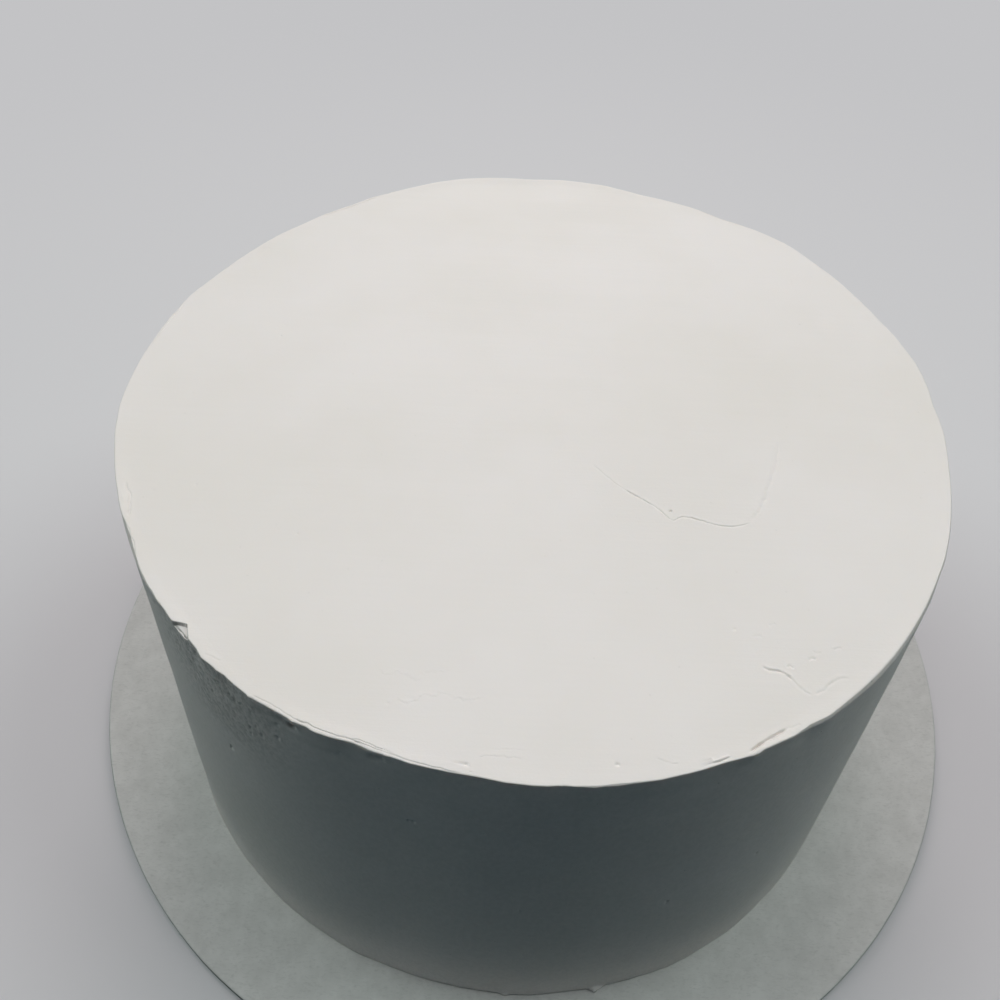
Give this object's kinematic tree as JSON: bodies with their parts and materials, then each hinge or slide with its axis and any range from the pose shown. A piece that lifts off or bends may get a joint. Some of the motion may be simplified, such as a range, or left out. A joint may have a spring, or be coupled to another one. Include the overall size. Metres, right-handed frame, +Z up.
{
  "type": "iced round cake on card cake board",
  "caption": "Plain round cake coated in smooth white icing with hand-scraped top edge, standing on a larger round card cake board.",
  "frame": {"origin": "middle of the card board's underside, which rests on the table", "axes": "+Z up, out of the cake's top; -Y is the side whose rim carries the scraper's marks; +X to the right of that side"},
  "size_m": [0.203, 0.203, 0.0909],
  "materials": {
    "icing": "smooth scraped white buttercream icing, soft satin, with fine drag lines and pores",
    "card": "dull pale pressed card with fine fibre mottle and a cut edge"
  },
  "bodies": {
    "root": {"iced_cake": "icing", "cake_board": "card"}
  },
  "joints": []
}
